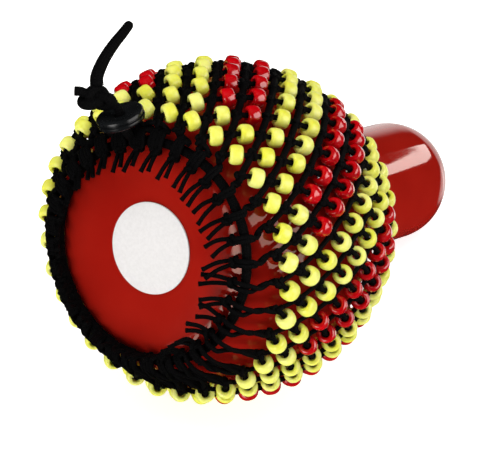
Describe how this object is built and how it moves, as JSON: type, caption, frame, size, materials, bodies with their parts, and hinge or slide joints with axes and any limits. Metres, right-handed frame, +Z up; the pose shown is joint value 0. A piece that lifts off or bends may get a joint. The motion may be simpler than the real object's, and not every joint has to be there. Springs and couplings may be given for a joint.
{
  "type": "cabasa",
  "caption": "Gourd-shaped shaker with a round belly, flat base and straight handle, wrapped in a loose net of cord and beads that a drawstring closes at the base.",
  "frame": {"origin": "middle of the footprint, on the ground that the belly beads and the end of the handle lie on", "axes": "+Y along the ground from the base towards the handle, +X across the belly, +Z up"},
  "size_m": [0.1562, 0.24, 0.1883],
  "materials": {
    "red_lacquer": "high-gloss lacquer on fibreglass",
    "white_label": "satin",
    "black_cord": "braided, matt",
    "yellow_beads": "satin",
    "red_beads": "gloss",
    "black_plastic": "gloss"
  },
  "bodies": {
    "gourd": {"body_shell": "red_lacquer", "base_plate": "red_lacquer", "base_badge": "white_label"},
    "collar": {"neck_ring": "black_cord"},
    "net": {"net_strand_01": "yellow_beads", "net_strand_02": "yellow_beads", "net_strand_03": "yellow_beads", "net_strand_04": "yellow_beads", "net_strand_05": "yellow_beads", "net_strand_06": "yellow_beads", "net_strand_07": "yellow_beads", "net_strand_08": "yellow_beads", "net_strand_09": "yellow_beads", "net_strand_10": "yellow_beads", "net_strand_11": "yellow_beads", "net_strand_12": "yellow_beads", "net_strand_13": "yellow_beads", "net_strand_14": "yellow_beads", "net_strand_15": "yellow_beads", "net_strand_16": "yellow_beads", "net_strand_17": "yellow_beads", "net_strand_18": "yellow_beads", "net_strand_19": "yellow_beads", "net_strand_20": "yellow_beads", "net_strand_21": "yellow_beads", "net_strand_22": "yellow_beads", "net_strand_23": "yellow_beads", "net_strand_24": "yellow_beads", "net_strand_25": "yellow_beads", "net_strand_26": "yellow_beads", "net_strand_27": "yellow_beads", "net_strand_28": "yellow_beads", "net_strand_29": "yellow_beads", "net_strand_30": "yellow_beads", "net_strand_31": "yellow_beads", "net_strand_32": "yellow_beads", "hem_ring": "black_cord", "drawstring_lead": "black_cord", "drawstring_knot": "black_cord", "drawstring_tail": "black_cord", "drawstring_stub": "black_cord"},
    "lock": {"cord_lock": "black_plastic"}
  },
  "joints": [
    {"name": "net_slide", "type": "slide", "parent": "gourd", "child": "collar", "axis": [0, 0.9406, -0.3394], "range_m": [-0.004, 0]},
    {"name": "net_turn", "type": "hinge", "parent": "collar", "child": "net", "pos_m": [0, -0.09806, 0.09689], "axis": [0, 0.9406, -0.3394], "continuous": true},
    {"name": "lock_slide", "type": "slide", "parent": "net", "child": "lock", "axis": [-0.32, -0.0456, 0.9463], "range_m": [-0.0025, 0.0018]}
  ]
}
